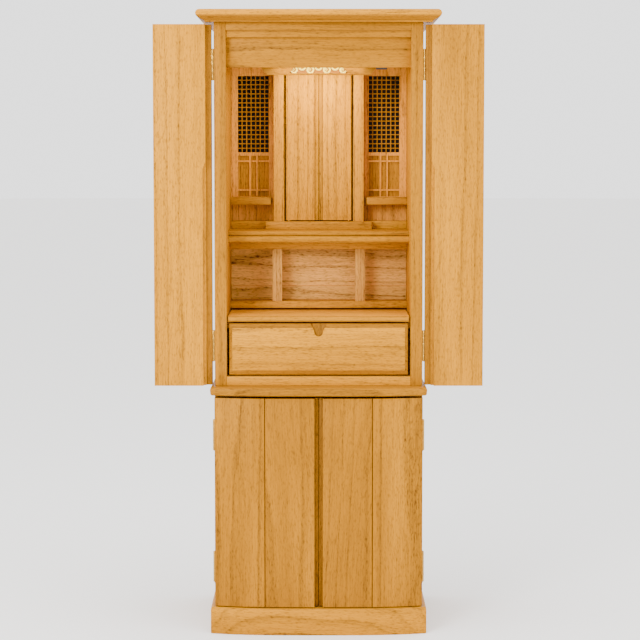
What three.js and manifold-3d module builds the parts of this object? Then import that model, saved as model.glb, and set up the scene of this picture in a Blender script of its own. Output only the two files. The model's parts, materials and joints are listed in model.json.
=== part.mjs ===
import * as THREE from 'three';
import { mergeVertices } from 'three/addons/utils/BufferGeometryUtils.js';
import Module from 'manifold-3d';

// A household altar cabinet of light wood, with its folding doors open, in millimetres.
// x runs to the right, y into the cabinet and z up. The pieces are placed with y = 0 at
// the front of the upper case, and the whole is then set on the middle of its footprint.

// Upper and lower case
const caseWidth = 434;
const caseBack = 348;
const lowerCaseFront = -8;
const stileWidth = 25;
const stileDepth = 30;
const panelRecess = 3;
const backThickness = 6;
const backInset = 2;

// Heights of the parts that stand on each other, from the floor up
const baseHeight = 56;
const lowerCaseHeight = 445.4;
const tierThickness = 18.3;
const floorThickness = 18.7;
const drawerFrontHeight = 107.5;
const drawerGap = 3.5;
const trayThickness = 11.6;
const traySlot = 4;
const sillThickness = 15;
const nicheHeight = 113.3;
const nicheRailHeight = 18;
const shelfLowerThickness = 14.5;
const shelfUpperThickness = 10.5;
const stepHeight = 17;
const sanctuaryHeight = 343;
const ceilingThickness = 12;
const corniceHeight = 74;
const crownThickness = 26;

// Bow fronts of the base, the tier board and the lower doors
const bowPower = 3.5;
const bowSteps = 9;
const tierOverhang = 9;
const tierCorner = 32;
const tierBow = 20;
const tierEdgeRadius = 6;
const baseWall = 24;
const doorEdgeFront = 27;
const doorBow = 18;

// Crown moulding
const crownLip = 18;
const crownNose = 36;
const crownFront = 3;
const crownNoseRadius = 8.5;
const crownLipHeight = 2;
const ogeeSteps = 5;

// Folding doors
const leafThickness = 19.5;
const leafGap = 0.5;
const leafBottomGap = 1.5;
const leafTopGap = 4.4;
const foldOffset = 6;
const foldGroove = 2.9;
const pullWidth = 6;
const pullDepth = 13;
const pullTop = 469;
const pullCurve = 20;
const pullSteps = 5;

// Hinges
const hingeLength = 64;
const hingeInset = 82;
const lowerHingeInset = 80;
const hingeOffset = 2.25;
const knuckleRadius = 2.2;
const knuckleSides = 12;
const plateThickness = 1.2;
const plateWidth = 16;
const hingeFit = 0.3;

// How far a cutter runs past the face it cuts
const past = 1;

// Lower doors
const lowerDoorBottomGap = 2;
const lowerDoorTopGap = 4.5;
const meetingGap = 1;
const fingerGrooveWidth = 17.4;
const fingerGrooveDepth = 15;
const seamAt = 112;
const seamWidth = 2;
const seamDepth = 2;

// Cornice, header, valance and lamp
const stripHeight = 16;
const stripStep = 6;
const corniceDepth = 20;
const stripLowerHeight = 14;
const headerThickness = 15;
const headerDrop = 17.5;
const valanceFront = 60;
const valanceThickness = 12;
const valanceDrop = 31.5;
const valanceHalf = 121;
const valanceSlope = 12;
const valanceSlopeHeight = 15;
const carvingHalf = 61;
const carvingSlope = 16;
const carvingHeight = 21;
const carvingStrip = 3.5;
const carvingThickness = 7;
const carvingFit = 0.3;
const scrollCount = 7;
const scrollRadius = 10.8;
const curlRadius = 3;
const curlShift = 2.1;
const gapRadius = 2.6;
const scrollHigh = 13;
const scrollLow = 7.5;
const gapHigh = 18.9;
const gapLow = 2.5;
const scrollSides = 18;
const curlSides = 8;
const lampFront = 38;
const lampDepth = 16;
const lampHeight = 11;
const lampHalf = 100;
const switchStart = 120;
const switchWidth = 23;
const switchHeight = 20.5;

// Drawer, pull-out board and their runners
const drawerSideGap = 4.8;
const drawerFrontThickness = 18;
const drawerSetback = 2.7;
const fieldBorder = 9;
const fieldSideBorder = 6.5;
const fieldStep = 1;
const fieldRise = 4.5;
const notchHalf = 16;
const notchThroat = 9.2;
const notchDepth = 27;
const notchRecess = 9;
const shoulderSteps = 4;
const boxWall = 10;
const boxBottom = 6;
const boxClearance = 0.5;
const boxSideGap = 16;
const boxTopDrop = 31;
const boxDepth = 290;
const runnerWidth = 12;
const runnerHeight = 15;
const trayDepth = 320;
const traySideGap = 2;
const trayCorner = 6;

// Niche below the shrine
const nicheFront = 185;
const nicheFrameDepth = 14;
const nicheDepth = 61;
const nichePostInner = 79.5;
const nichePostWidth = 21;
const nicheSeamHeight = 31;
const nicheSeamSize = 1.4;

// Shelf boards and steps
const shelfLowerFront = 80;
const shelfUpperFront = 85;
const plinthHalf = 115;
const plinthFront = 182;
const stepFront = 222;
const sideShelfFront = 195;
const sideShelfBottom = 53;
const sideShelfThickness = 16;
const sideShelfEndGap = 6.4;

// Shrine box and its doors
const shrineFront = 190;
const postInner = 74.5;
const postWidth = 23;
const postDepth = 22;
const shrineWall = 10;
const shrineDoorInset = 1;
const shrineDoorThickness = 14;
const shrineDoorGap = 3.5;
const shrineDoorBottomGap = 2.5;
const shrineEdgeChamfer = 1.2;
const shrineGrooveHalf = 8.5;
const shrineGrooveDepth = 6;

// Lattice screens beside the shrine
const screenFront = 240;
const screenThickness = 12;
const latticeColumns = 7;
const latticeRows = 17;
const latticePitch = 9.88;
const latticeBar = 2;
const latticeShift = 1.9;
const latticeInset = 2;
const latticeThickness = 4;
const latticeBottom = 149.4;
const backingThickness = 3;
const kumikoTop = 142;
const kumikoBottom = 53;
const kumikoUpper = 130;
const kumikoLower = 67;
const kumikoBar = 4;
const kumikoPair = 7.4;
const kumikoDepth = 4;

// Planes worked out from the sizes above
const half = caseWidth / 2;
const inside = half - stileWidth;
const backFront = caseBack - backInset - backThickness;
const tierBottom = baseHeight + lowerCaseHeight;
const tierTop = tierBottom + tierThickness;
const floorTop = tierTop + floorThickness;
const drawerBottom = floorTop + drawerGap;
const drawerTop = drawerBottom + drawerFrontHeight;
const trayBottom = drawerTop + drawerGap;
const trayTop = trayBottom + trayThickness;
const sillBottom = trayTop + traySlot;
const sillTop = sillBottom + sillThickness;
const nicheTop = sillTop + nicheHeight;
const shelfBottom = nicheTop + nicheRailHeight;
const shelfMiddle = shelfBottom + shelfLowerThickness;
const shelfTop = shelfMiddle + shelfUpperThickness;
const stepTop = shelfTop + stepHeight;
const ceilingBottom = stepTop + sanctuaryHeight;
const crownBottom = ceilingBottom + corniceHeight;
const crownTop = crownBottom + crownThickness;
const hingeX = -(half + hingeOffset);

const wasm = await Module();
wasm.setup();

const straightWood = new THREE.MeshStandardMaterial({ color: '#d9a769', roughness: 0.45, metalness: 0 });
const mouldedWood = new THREE.MeshStandardMaterial({ color: '#d3a062', roughness: 0.42, metalness: 0 });
const innerWood = new THREE.MeshStandardMaterial({ color: '#cf9655', roughness: 0.5, metalness: 0 });
const carvedWood = new THREE.MeshStandardMaterial({ color: '#efd9a8', roughness: 0.55, metalness: 0 });
const blackBoard = new THREE.MeshStandardMaterial({ color: '#15110e', roughness: 0.9, metalness: 0 });
const brass = new THREE.MeshStandardMaterial({ color: '#b8923f', roughness: 0.3, metalness: 1 });
const darkPlastic = new THREE.MeshStandardMaterial({ color: '#2a2622', roughness: 0.5, metalness: 0 });

const cabinet = new THREE.Group();

function addMesh(name, geometry, material) {
  const mesh = new THREE.Mesh(geometry, material);
  mesh.name = name;
  cabinet.add(mesh);
}

// A copy of a left-hand geometry for the right-hand side, with its faces kept pointing out
function mirrored(geometry) {
  const copy = geometry.index ? geometry.toNonIndexed() : geometry.clone();
  copy.scale(-1, 1, 1);
  const position = copy.attributes.position;
  const corner = new THREE.Vector3();
  const other = new THREE.Vector3();
  for (let i = 0; i < position.count; i += 3) {
    corner.fromBufferAttribute(position, i + 1);
    other.fromBufferAttribute(position, i + 2);
    position.setXYZ(i + 1, other.x, other.y, other.z);
    position.setXYZ(i + 2, corner.x, corner.y, corner.z);
  }
  copy.deleteAttribute('normal');
  return copy;
}

function addPair(name, geometry, material) {
  addMesh(`${name}_left`, geometry, material);
  addMesh(`${name}_right`, mirrored(geometry), material);
}

function box(x, y, z) {
  const geometry = new THREE.BoxGeometry(x[1] - x[0], y[1] - y[0], z[1] - z[0]);
  geometry.translate((x[0] + x[1]) / 2, (y[0] + y[1]) / 2, (z[0] + z[1]) / 2);
  return geometry;
}

// An outline pushed along one axis: 'x' takes (y, z) points, 'y' takes (x, z), 'z' takes (x, y)
function prism(points, axis, low, high, holes = []) {
  const shape = new THREE.Shape(points.map(([a, b]) => new THREE.Vector2(a, b)));
  shape.holes = holes.map((hole) => new THREE.Path(hole.map(([a, b]) => new THREE.Vector2(a, b))));
  const geometry = new THREE.ExtrudeGeometry(shape, { depth: high - low, bevelEnabled: false });
  const x = new THREE.Vector3(1, 0, 0);
  const y = new THREE.Vector3(0, 1, 0);
  const z = new THREE.Vector3(0, 0, 1);
  if (axis === 'x') geometry.applyMatrix4(new THREE.Matrix4().makeBasis(y, z, x));
  if (axis === 'y') geometry.applyMatrix4(new THREE.Matrix4().makeBasis(x, z, y.clone().negate()));
  const start = axis === 'y' ? high : low;
  geometry.translate(axis === 'x' ? start : 0, axis === 'y' ? start : 0, axis === 'z' ? start : 0);
  return geometry;
}

// A solid through rings of corners, each ring a convex outline with the same number of corners
function loft(rings) {
  const count = rings[0].length;
  const vertices = rings.flat(2);
  const triangles = [];
  for (let ring = 0; ring < rings.length - 1; ring += 1) {
    for (let i = 0; i < count; i += 1) {
      const a = ring * count + i;
      const b = ring * count + ((i + 1) % count);
      triangles.push(a, b, b + count, a, b + count, a + count);
    }
  }
  const last = (rings.length - 1) * count;
  for (let i = 1; i < count - 1; i += 1) {
    triangles.push(0, i + 1, i, last, last + i, last + i + 1);
  }
  const geometry = new THREE.BufferGeometry();
  geometry.setAttribute('position', new THREE.Float32BufferAttribute(vertices, 3));
  geometry.setIndex(triangles);
  return geometry;
}

function toSolid(geometry) {
  const bare = geometry.clone();
  bare.deleteAttribute('normal');
  bare.deleteAttribute('uv');
  const merged = mergeVertices(bare, 0.0005);
  const vertProperties = new Float32Array(merged.attributes.position.array);
  const triVerts = new Uint32Array(merged.index.array);
  return new wasm.Manifold(new wasm.Mesh({ numProp: 3, vertProperties, triVerts }));
}

function toGeometry(solid) {
  const mesh = solid.getMesh();
  const geometry = new THREE.BufferGeometry();
  geometry.setAttribute('position', new THREE.Float32BufferAttribute(mesh.vertProperties, 3));
  geometry.setIndex(Array.from(mesh.triVerts));
  return geometry;
}

function join(pieces) {
  return toGeometry(pieces.map(toSolid).reduce((sum, piece) => sum.add(piece)));
}

function cut(whole, cutters) {
  return toGeometry(cutters.map(toSolid).reduce((rest, cutter) => rest.subtract(cutter), toSolid(whole)));
}

function meet(first, second) {
  return toGeometry(toSolid(first).intersect(toSolid(second)));
}

// Even shares from 0 to 1
function steps(count) {
  return Array.from({ length: count + 1 }, (_, i) => i / count);
}

// Share of the way along an S-curve
function smooth(t) {
  return t * t * (3 - 2 * t);
}

// Points of an arc in a profile, angles in degrees
function arc(centre, radius, from, to, count) {
  return steps(count).map((t) => {
    const angle = THREE.MathUtils.degToRad(from + (to - from) * t);
    return [centre[0] + radius * Math.cos(angle), centre[1] + radius * Math.sin(angle)];
  });
}

// How far a bowed edge stands back from the line of its middle at a share of its half width
function bowAt(share, bow) {
  return bow * Math.abs(share) ** bowPower;
}

// Plan of a board with a bowed front, drawn in from its outline by an inset
function bowedOutline(halfWidth, front, bow, inset, z) {
  const corners = [[halfWidth - inset, caseBack, z], [-(halfWidth - inset), caseBack, z]];
  for (let i = -bowSteps; i <= bowSteps; i += 1) {
    const share = Math.sin((i / bowSteps) * (Math.PI / 2));
    corners.push([share * (halfWidth - inset), front + bowAt(share, bow) + inset, z]);
  }
  return corners;
}

// Base: a bowed plinth frame, open below and above, that the lower case stands on
const tierHalf = half + tierOverhang;
const tierFront = -(tierCorner + tierBow);
const baseBlock = loft([
  bowedOutline(tierHalf, tierFront, tierBow, 0, 0),
  bowedOutline(tierHalf, tierFront, tierBow, 0, baseHeight - tierEdgeRadius / 2),
  bowedOutline(tierHalf, tierFront, tierBow, tierEdgeRadius / 2, baseHeight),
]);
const baseHollow = box(
  [-(tierHalf - baseWall), tierHalf - baseWall],
  [-tierCorner + baseWall, caseBack - baseWall],
  [-past, baseHeight + past],
);
addMesh('base_plinth', cut(baseBlock, [baseHollow]), straightWood);

// Case sides: a front and a back stile with a panel set a little behind their faces
function caseSide(front, bottom, top) {
  const plan = [
    [-half, front],
    [-inside, front],
    [-inside, caseBack],
    [-half, caseBack],
    [-half, caseBack - stileDepth],
    [-half + panelRecess, caseBack - stileDepth],
    [-half + panelRecess, front + stileDepth],
    [-half, front + stileDepth],
  ];
  return prism(plan, 'z', bottom, top);
}
addPair('lower_side', caseSide(lowerCaseFront, baseHeight, tierBottom), straightWood);
addPair('upper_side', caseSide(0, tierTop, crownBottom), straightWood);

const between = [-inside, inside];
addMesh(
  'lower_floor',
  box(between, [lowerCaseFront, backFront], [baseHeight, baseHeight + floorThickness]),
  innerWood,
);
const backSpan = [backFront, backFront + backThickness];
addMesh('lower_back', box(between, backSpan, [baseHeight, tierBottom]), innerWood);
addMesh('upper_floor', box(between, [0, backFront], [tierTop, floorTop]), straightWood);
addMesh('upper_back', box(between, backSpan, [tierTop, crownBottom]), innerWood);

// Tier board between the two cases, bowed and rounded along its front
const tierRings = arc([0, 0], tierEdgeRadius, -90, 90, 6).map(([reach, rise]) => {
  const inset = tierEdgeRadius - reach;
  const z = rise < 0 ? tierBottom + tierEdgeRadius + rise : tierTop - tierEdgeRadius + rise;
  return bowedOutline(tierHalf, tierFront, tierBow, inset, z);
});
addMesh('tier_board', loft(tierRings), straightWood);

// Crown: a bottom lip, an ogee and a round nose run along the front and both sides
function crownRing([reach, z]) {
  const x = half + reach;
  const front = -crownFront - reach;
  return [[x, caseBack, z], [-x, caseBack, z], [-x, front, z], [x, front, z]];
}
const noseFoot = crownNose - crownNoseRadius;
const noseCentre = crownTop - crownNoseRadius;
const ogeeBottom = crownBottom + crownLipHeight;
const ogeeRise = noseCentre - crownNoseRadius - ogeeBottom;
const ogee = steps(ogeeSteps).slice(0, -1).map((t) => [
  crownLip + (noseFoot - crownLip) * smooth(t),
  ogeeBottom + ogeeRise * t,
]);
const crownProfile = [
  [crownLip, crownBottom],
  ...ogee,
  ...arc([noseFoot, noseCentre], crownNoseRadius, -90, 90, 8),
];
addMesh('crown', loft(crownProfile.map(crownRing)), mouldedWood);

// Cornice strips between the stiles, the header board behind them and the ceiling
const stripBottom = crownBottom - stripHeight;
const stripLowerBottom = stripBottom - stripLowerHeight;
const cornicePlan = [
  [0, crownBottom],
  [0, stripBottom],
  [stripStep, stripBottom],
  [stripStep, stripLowerBottom],
  [corniceDepth, stripLowerBottom],
  [corniceDepth, crownBottom],
];
const headerBack = corniceDepth + headerThickness;
addMesh('cornice', prism(cornicePlan, 'x', -inside, inside), mouldedWood);
addMesh(
  'header_board',
  box(between, [corniceDepth, headerBack], [ceilingBottom - headerDrop, crownBottom]),
  straightWood,
);
addMesh(
  'ceiling_board',
  box(between, [headerBack, backFront], [ceilingBottom, ceilingBottom + ceilingThickness]),
  innerWood,
);

// Valance below the ceiling, with sloping ends and an opening for the carved transom
const valanceBottom = ceilingBottom - valanceDrop;
const valanceBack = valanceFront + valanceThickness;
const slopeTop = valanceBottom + valanceSlopeHeight;
const valanceOutline = [
  [-(valanceHalf - valanceSlope), valanceBottom],
  [valanceHalf - valanceSlope, valanceBottom],
  [valanceHalf, slopeTop],
  [valanceHalf, ceilingBottom],
  [-valanceHalf, ceilingBottom],
  [-valanceHalf, slopeTop],
];
function carvingOutline(inset) {
  const bottom = valanceBottom + carvingStrip + inset;
  const top = valanceBottom + carvingStrip + carvingHeight - inset;
  const low = carvingHalf - inset;
  const high = carvingHalf - carvingSlope - inset;
  return [[-low, bottom], [low, bottom], [high, top], [-high, top]];
}
const valance = prism(valanceOutline, 'y', valanceFront, valanceBack, [carvingOutline(0)]);
addMesh('valance', valance, innerWood);

// Carved transom: rolling cloud scrolls cut right through between their curls
const carvingBottom = valanceBottom + carvingStrip;
const carvingFront = valanceFront + (valanceThickness - carvingThickness) / 2;
const carvingSpan = [carvingFront, carvingFront + carvingThickness];
function disc(x, z, radius, sides, span) {
  return prism(arc([x, z], radius, 0, 360 - 360 / sides, sides - 1), 'y', span[0], span[1]);
}
const scrollPitch = (2 * carvingHalf) / scrollCount;
const cutSpan = [carvingSpan[0] - past, carvingSpan[1] + past];
const scrolls = [];
const curls = [];
for (let i = 0; i < scrollCount; i += 1) {
  const x = -carvingHalf + scrollPitch * (i + 0.5);
  const isHigh = i % 2 === 1;
  const z = carvingBottom + (isHigh ? scrollHigh : scrollLow);
  const gapZ = carvingBottom + (isHigh ? gapLow : gapHigh);
  scrolls.push(disc(x, z, scrollRadius, scrollSides, carvingSpan));
  curls.push(disc(x + curlShift, z, curlRadius, curlSides, cutSpan));
  curls.push(disc(x + scrollPitch / 2, gapZ, gapRadius, curlSides, cutSpan));
}
const carvingField = prism(carvingOutline(carvingFit), 'y', carvingSpan[0], carvingSpan[1]);
addMesh('transom_carving', cut(meet(join(scrolls), carvingField), curls), carvedWood);

// Lamp: a flat strip housing on the ceiling behind the header, with its switch at one end
const lampSpan = [lampFront, lampFront + lampDepth];
const switchEnd = switchStart + switchWidth;
const lampBar = box([-lampHalf, switchEnd], lampSpan, [ceilingBottom - lampHeight, ceilingBottom]);
const lampSwitch = box([switchStart, switchEnd], lampSpan, [ceilingBottom - switchHeight, ceilingBottom]);
addMesh('lamp', join([lampBar, lampSwitch]), darkPlastic);

// Drawer front: a raised field with a sloping border and a blind notch for the finger,
// set back so that the fold hinges' knuckles clear it when the leaves are shut
const drawerHalf = inside - drawerSideGap;
const drawerFace = drawerSetback;
const drawerFaceBack = drawerSetback + drawerFrontThickness;
function drawerRing([sideInset, inset, y]) {
  const x = drawerHalf - sideInset;
  const low = drawerBottom + inset;
  const high = drawerTop - inset;
  return [[-x, y, low], [-x, y, high], [x, y, high], [x, y, low]];
}
const drawerProfile = [
  [fieldSideBorder, fieldBorder, drawerFace],
  [fieldSideBorder, fieldBorder, drawerFace + fieldStep],
  [0, 0, drawerFace + fieldRise],
  [0, 0, drawerFaceBack],
];
const drawerBlank = loft(drawerProfile.map(drawerRing));
const throatCentre = drawerTop - notchDepth + notchThroat;
const shoulder = steps(shoulderSteps).map((t) => [
  notchHalf - (notchHalf - notchThroat) * smooth(t),
  drawerTop - (drawerTop - throatCentre) * t,
]);
const notchOutline = [
  [notchHalf, drawerTop + past],
  ...shoulder,
  ...arc([0, throatCentre], notchThroat, 0, -180, 10).slice(1, -1),
  ...shoulder.map(([x, z]) => [-x, z]).reverse(),
  [-notchHalf, drawerTop + past],
];
const notch = prism(notchOutline, 'y', drawerFace - past, drawerFace + notchRecess);
addMesh('drawer_front', cut(drawerBlank, [notch]), straightWood);

// Drawer box behind the front, open on top
const boxHalf = inside - boxSideGap;
const boxZ = [floorTop + boxClearance, drawerTop - boxTopDrop];
const boxBack = drawerFaceBack + boxDepth;
const boxBlank = box([-boxHalf, boxHalf], [drawerFaceBack, boxBack], boxZ);
const boxHollow = box(
  [-(boxHalf - boxWall), boxHalf - boxWall],
  [drawerFaceBack + boxWall, boxBack - boxWall],
  [boxZ[0] + boxBottom, boxZ[1] + past],
);
addMesh('drawer_box', cut(boxBlank, [boxHollow]), innerWood);

// Runners on the case sides, which carry the pull-out board above the drawer
const runnerFront = drawerFaceBack + drawerGap;
const runner = box(
  [-inside, -inside + runnerWidth],
  [runnerFront, backFront],
  [trayBottom - runnerHeight, trayBottom - boxClearance],
);
addPair('tray_runner', runner, innerWood);

// Pull-out board with a round front edge and softened corners
const trayHalf = inside - traySideGap;
const trayPlan = [
  [-trayHalf, trayDepth],
  ...arc([-trayHalf + trayCorner, trayCorner], trayCorner, 180, 270, 4),
  ...arc([trayHalf - trayCorner, trayCorner], trayCorner, 270, 360, 4),
  [trayHalf, trayDepth],
];
function noseProfile(front, back, bottom, top) {
  const radius = (top - bottom) / 2;
  return [[back, bottom], [back, top], ...arc([front + radius, bottom + radius], radius, 90, 270, 8)];
}
const trayNose = prism(noseProfile(0, trayDepth, trayBottom, trayTop), 'x', -trayHalf, trayHalf);
addMesh('pull_out_board', meet(prism(trayPlan, 'z', trayBottom, trayTop), trayNose), straightWood);

// Niche: a sill, two posts and a top rail in front of a back panel made of two boards
const nicheFrame = [nicheFront, nicheFront + nicheFrameDepth];
const nicheBack = nicheFront + nicheDepth;
const nichePanelFront = nicheBack - backThickness;
addMesh('niche_sill', box(between, [nicheFront, nicheBack], [sillBottom, sillTop]), straightWood);
addMesh('niche_rail', box(between, nicheFrame, [nicheTop, shelfBottom]), straightWood);
const nichePostX = [-(nichePostInner + nichePostWidth), -nichePostInner];
const nichePost = box(nichePostX, nicheFrame, [sillTop, nicheTop]);
addPair('niche_post', nichePost, straightWood);
const seamCentre = sillTop + nicheSeamHeight;
const nichePanelProfile = [
  [nicheBack, sillTop],
  [nicheBack, shelfBottom],
  [nichePanelFront, shelfBottom],
  [nichePanelFront, seamCentre + nicheSeamSize / 2],
  [nichePanelFront + nicheSeamSize, seamCentre],
  [nichePanelFront, seamCentre - nicheSeamSize / 2],
  [nichePanelFront, sillTop],
];
addMesh('niche_back', prism(nichePanelProfile, 'x', -inside, inside), straightWood);

// Two shelf boards, one on the other, that make the sanctuary floor
function shelfBoard(front, bottom, top) {
  return prism(noseProfile(front, backFront, bottom, top), 'x', -inside, inside);
}
addMesh('shelf_lower', shelfBoard(shelfLowerFront, shelfBottom, shelfMiddle), mouldedWood);
addMesh('shelf_upper', shelfBoard(shelfUpperFront, shelfMiddle, shelfTop), mouldedWood);

// Plinth below the shrine, and the low steps and shelves beside it
const plinthBox = box([-plinthHalf, plinthHalf], [plinthFront, backFront], [shelfTop, stepTop]);
addMesh('shrine_plinth', plinthBox, straightWood);
addPair('low_step', box([-inside, -plinthHalf], [stepFront, backFront], [shelfTop, stepTop]), innerWood);
const postOuter = postInner + postWidth;
const sideShelfZ = [shelfTop + sideShelfBottom, shelfTop + sideShelfBottom + sideShelfThickness];
const sideShelfX = [-inside, -postOuter - sideShelfEndGap];
const sideShelf = box(sideShelfX, [sideShelfFront, screenFront], sideShelfZ);
addPair('side_shelf', sideShelf, straightWood);

// Shrine: a post and a side wall on each hand, closed behind by the case back
const shrineSidePlan = [
  [-postOuter, shrineFront],
  [-postInner, shrineFront],
  [-postInner, shrineFront + postDepth],
  [-postOuter + shrineWall, shrineFront + postDepth],
  [-postOuter + shrineWall, backFront],
  [-postOuter, backFront],
];
addPair('shrine_side', prism(shrineSidePlan, 'z', stepTop, ceilingBottom), straightWood);

// Shrine doors, turning on pins near their outer edges, with a groove where they meet
const shrineDoorFront = shrineFront + shrineDoorInset;
const shrineDoorBack = shrineDoorFront + shrineDoorThickness;
const shrineDoorEdge = -(postInner - shrineDoorGap);
const shrineDoorPlan = [
  [shrineDoorEdge, shrineDoorBack - shrineEdgeChamfer],
  [shrineDoorEdge, shrineDoorFront + shrineEdgeChamfer],
  [shrineDoorEdge + shrineEdgeChamfer, shrineDoorFront],
  [-shrineGrooveHalf, shrineDoorFront],
  [-shrineGrooveHalf, shrineDoorFront + shrineGrooveDepth],
  [-meetingGap / 2, shrineDoorFront + shrineGrooveDepth],
  [-meetingGap / 2, shrineDoorBack],
  [shrineDoorEdge + shrineEdgeChamfer, shrineDoorBack],
];
const shrineDoorZ = [stepTop + shrineDoorBottomGap, ceilingBottom - shrineDoorGap];
addPair('shrine_door', prism(shrineDoorPlan, 'z', shrineDoorZ[0], shrineDoorZ[1]), straightWood);

// Screens: a board with an open lattice above, thin crossing bars over a field below it,
// and under the side shelf a plain recess down to the foot
const screenBack = screenFront + screenThickness;
const screenBlank = box([-inside, -postOuter], [screenFront, screenBack], [stepTop, ceilingBottom]);
const latticeWidth = latticeColumns * latticePitch - latticeBar;
const latticeHeight = latticeRows * latticePitch - latticeBar;
const latticeLeft = -(inside + postOuter) / 2 - latticeWidth / 2 + latticeShift;
const latticeLow = stepTop + latticeBottom;
const latticeX = [latticeLeft, latticeLeft + latticeWidth];
const latticeZ = [latticeLow, latticeLow + latticeHeight];
const latticeFace = screenFront + latticeInset;
const screenCuts = [
  box(latticeX, [screenFront - past, latticeFace], latticeZ),
  box(latticeX, [latticeFace + latticeThickness, screenBack + past], latticeZ),
];
const latticeCutY = [latticeFace - past, latticeFace + latticeThickness + past];
for (let column = 0; column < latticeColumns; column += 1) {
  for (let row = 0; row < latticeRows; row += 1) {
    const x = latticeLeft + column * latticePitch;
    const z = latticeLow + row * latticePitch;
    const hole = latticePitch - latticeBar;
    screenCuts.push(box([x, x + hole], latticeCutY, [z, z + hole]));
  }
}
const fieldMiddle = (latticeX[0] + latticeX[1]) / 2;
const fieldSpansX = [
  [latticeX[0], fieldMiddle - kumikoPair - kumikoBar / 2],
  [fieldMiddle - kumikoPair + kumikoBar / 2, fieldMiddle + kumikoPair - kumikoBar / 2],
  [fieldMiddle + kumikoPair + kumikoBar / 2, latticeX[1]],
];
const fieldSpansZ = [
  [kumikoBottom, kumikoLower - kumikoBar / 2],
  [kumikoLower + kumikoBar / 2, kumikoUpper - kumikoBar / 2],
  [kumikoUpper + kumikoBar / 2, kumikoTop],
];
const fieldDepth = [screenFront - past, screenFront + kumikoDepth];
for (const spanX of fieldSpansX) {
  for (const spanZ of fieldSpansZ) {
    screenCuts.push(box(spanX, fieldDepth, [stepTop + spanZ[0], stepTop + spanZ[1]]));
  }
}
const shelfMiddleZ = (sideShelfZ[0] + sideShelfZ[1]) / 2;
screenCuts.push(box(latticeX, fieldDepth, [stepTop - past, shelfMiddleZ]));
addPair('screen', cut(screenBlank, screenCuts), innerWood);
const backing = box([-inside, -postOuter], [screenBack, screenBack + backingThickness], [
  latticeZ[0] - latticePitch,
  ceilingBottom,
]);
addPair('screen_backing', backing, blackBoard);

// Folding doors: plans of the left pair drawn shut, then moved to where they stand open
const leafZ = [tierTop + leafBottomGap, crownBottom - leafTopGap];
const leafFront = -(leafThickness + leafGap);
const leafBack = -leafGap;
const leafMiddle = (leafFront + leafBack) / 2;
const leafOuterEdge = -(half - leafGap);
const leafMeetingEdge = -meetingGap / 2;
const foldLine = (leafOuterEdge + leafMeetingEdge) / 2;
const foldX = foldLine + foldOffset;
const outerPlan = [
  [leafOuterEdge, leafFront],
  [foldLine - leafGap / 2, leafFront],
  [foldLine - leafGap / 2, leafMiddle + leafGap / 2],
  [foldX - foldGroove, leafMiddle + leafGap / 2],
  [foldX - foldGroove, leafBack],
  [leafOuterEdge, leafBack],
];
const innerPlan = [
  [foldLine + leafGap / 2, leafFront],
  [leafMeetingEdge, leafFront],
  [leafMeetingEdge, leafBack],
  [foldX + foldGroove, leafBack],
  [foldX + foldGroove, leafMiddle - leafGap / 2],
  [foldLine + leafGap / 2, leafMiddle - leafGap / 2],
];
const innerShift = 2 * (hingeX - foldX);
const outerOpen = outerPlan.map(([x, y]) => [2 * hingeX - x, -y]);
const innerOpen = innerPlan.map(([x, y]) => [x + innerShift, y]);
const openMeetingEdge = leafMeetingEdge + innerShift;
const pullZ = leafZ[0] + pullTop;
const pullOutline = [
  [openMeetingEdge + past, leafZ[0] - past],
  [openMeetingEdge + past, pullZ],
  ...steps(pullSteps).map((t) => [openMeetingEdge - pullWidth * smooth(t), pullZ - pullCurve * t]),
  [openMeetingEdge - pullWidth, leafZ[0] - past],
];
const pullCutter = prism(pullOutline, 'y', leafFront - past, leafFront + pullDepth);
addPair('outer_leaf', prism(outerOpen, 'z', leafZ[0], leafZ[1]), straightWood);
addPair('inner_leaf', cut(prism(innerOpen, 'z', leafZ[0], leafZ[1]), [pullCutter]), straightWood);

// Lower doors: bowed outside and flat inside, each of two boards with a groove at the seam
const lowerDoorZ = [baseHeight + lowerDoorBottomGap, tierBottom - lowerDoorTopGap];
const lowerDoorBack = lowerCaseFront - leafGap;
function doorFront(x) {
  return -(doorEdgeFront + doorBow) + bowAt(x / half, doorBow);
}
const grooveEdge = -fingerGrooveWidth / 2;
const frontLine = [];
for (let i = -bowSteps; i <= 0; i += 1) {
  const x = half * Math.sin((i / bowSteps) * (Math.PI / 2));
  const clear = Math.abs(x + seamAt) > seamWidth && x < grooveEdge - 1;
  if (clear) frontLine.push([x, doorFront(x)]);
}
const seamLine = [
  [-seamAt - seamWidth / 2, doorFront(seamAt)],
  [-seamAt, doorFront(seamAt) + seamDepth],
  [-seamAt + seamWidth / 2, doorFront(seamAt)],
];
const lowerDoorPlan = [
  ...[...frontLine, ...seamLine].sort((a, b) => a[0] - b[0]),
  [grooveEdge, doorFront(grooveEdge)],
  [grooveEdge, doorFront(grooveEdge) + fingerGrooveDepth],
  [-meetingGap / 2, doorFront(grooveEdge) + fingerGrooveDepth],
  [-meetingGap / 2, lowerDoorBack],
  [-half, lowerDoorBack],
];
addPair('lower_door', prism(lowerDoorPlan, 'z', lowerDoorZ[0], lowerDoorZ[1]), straightWood);

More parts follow.
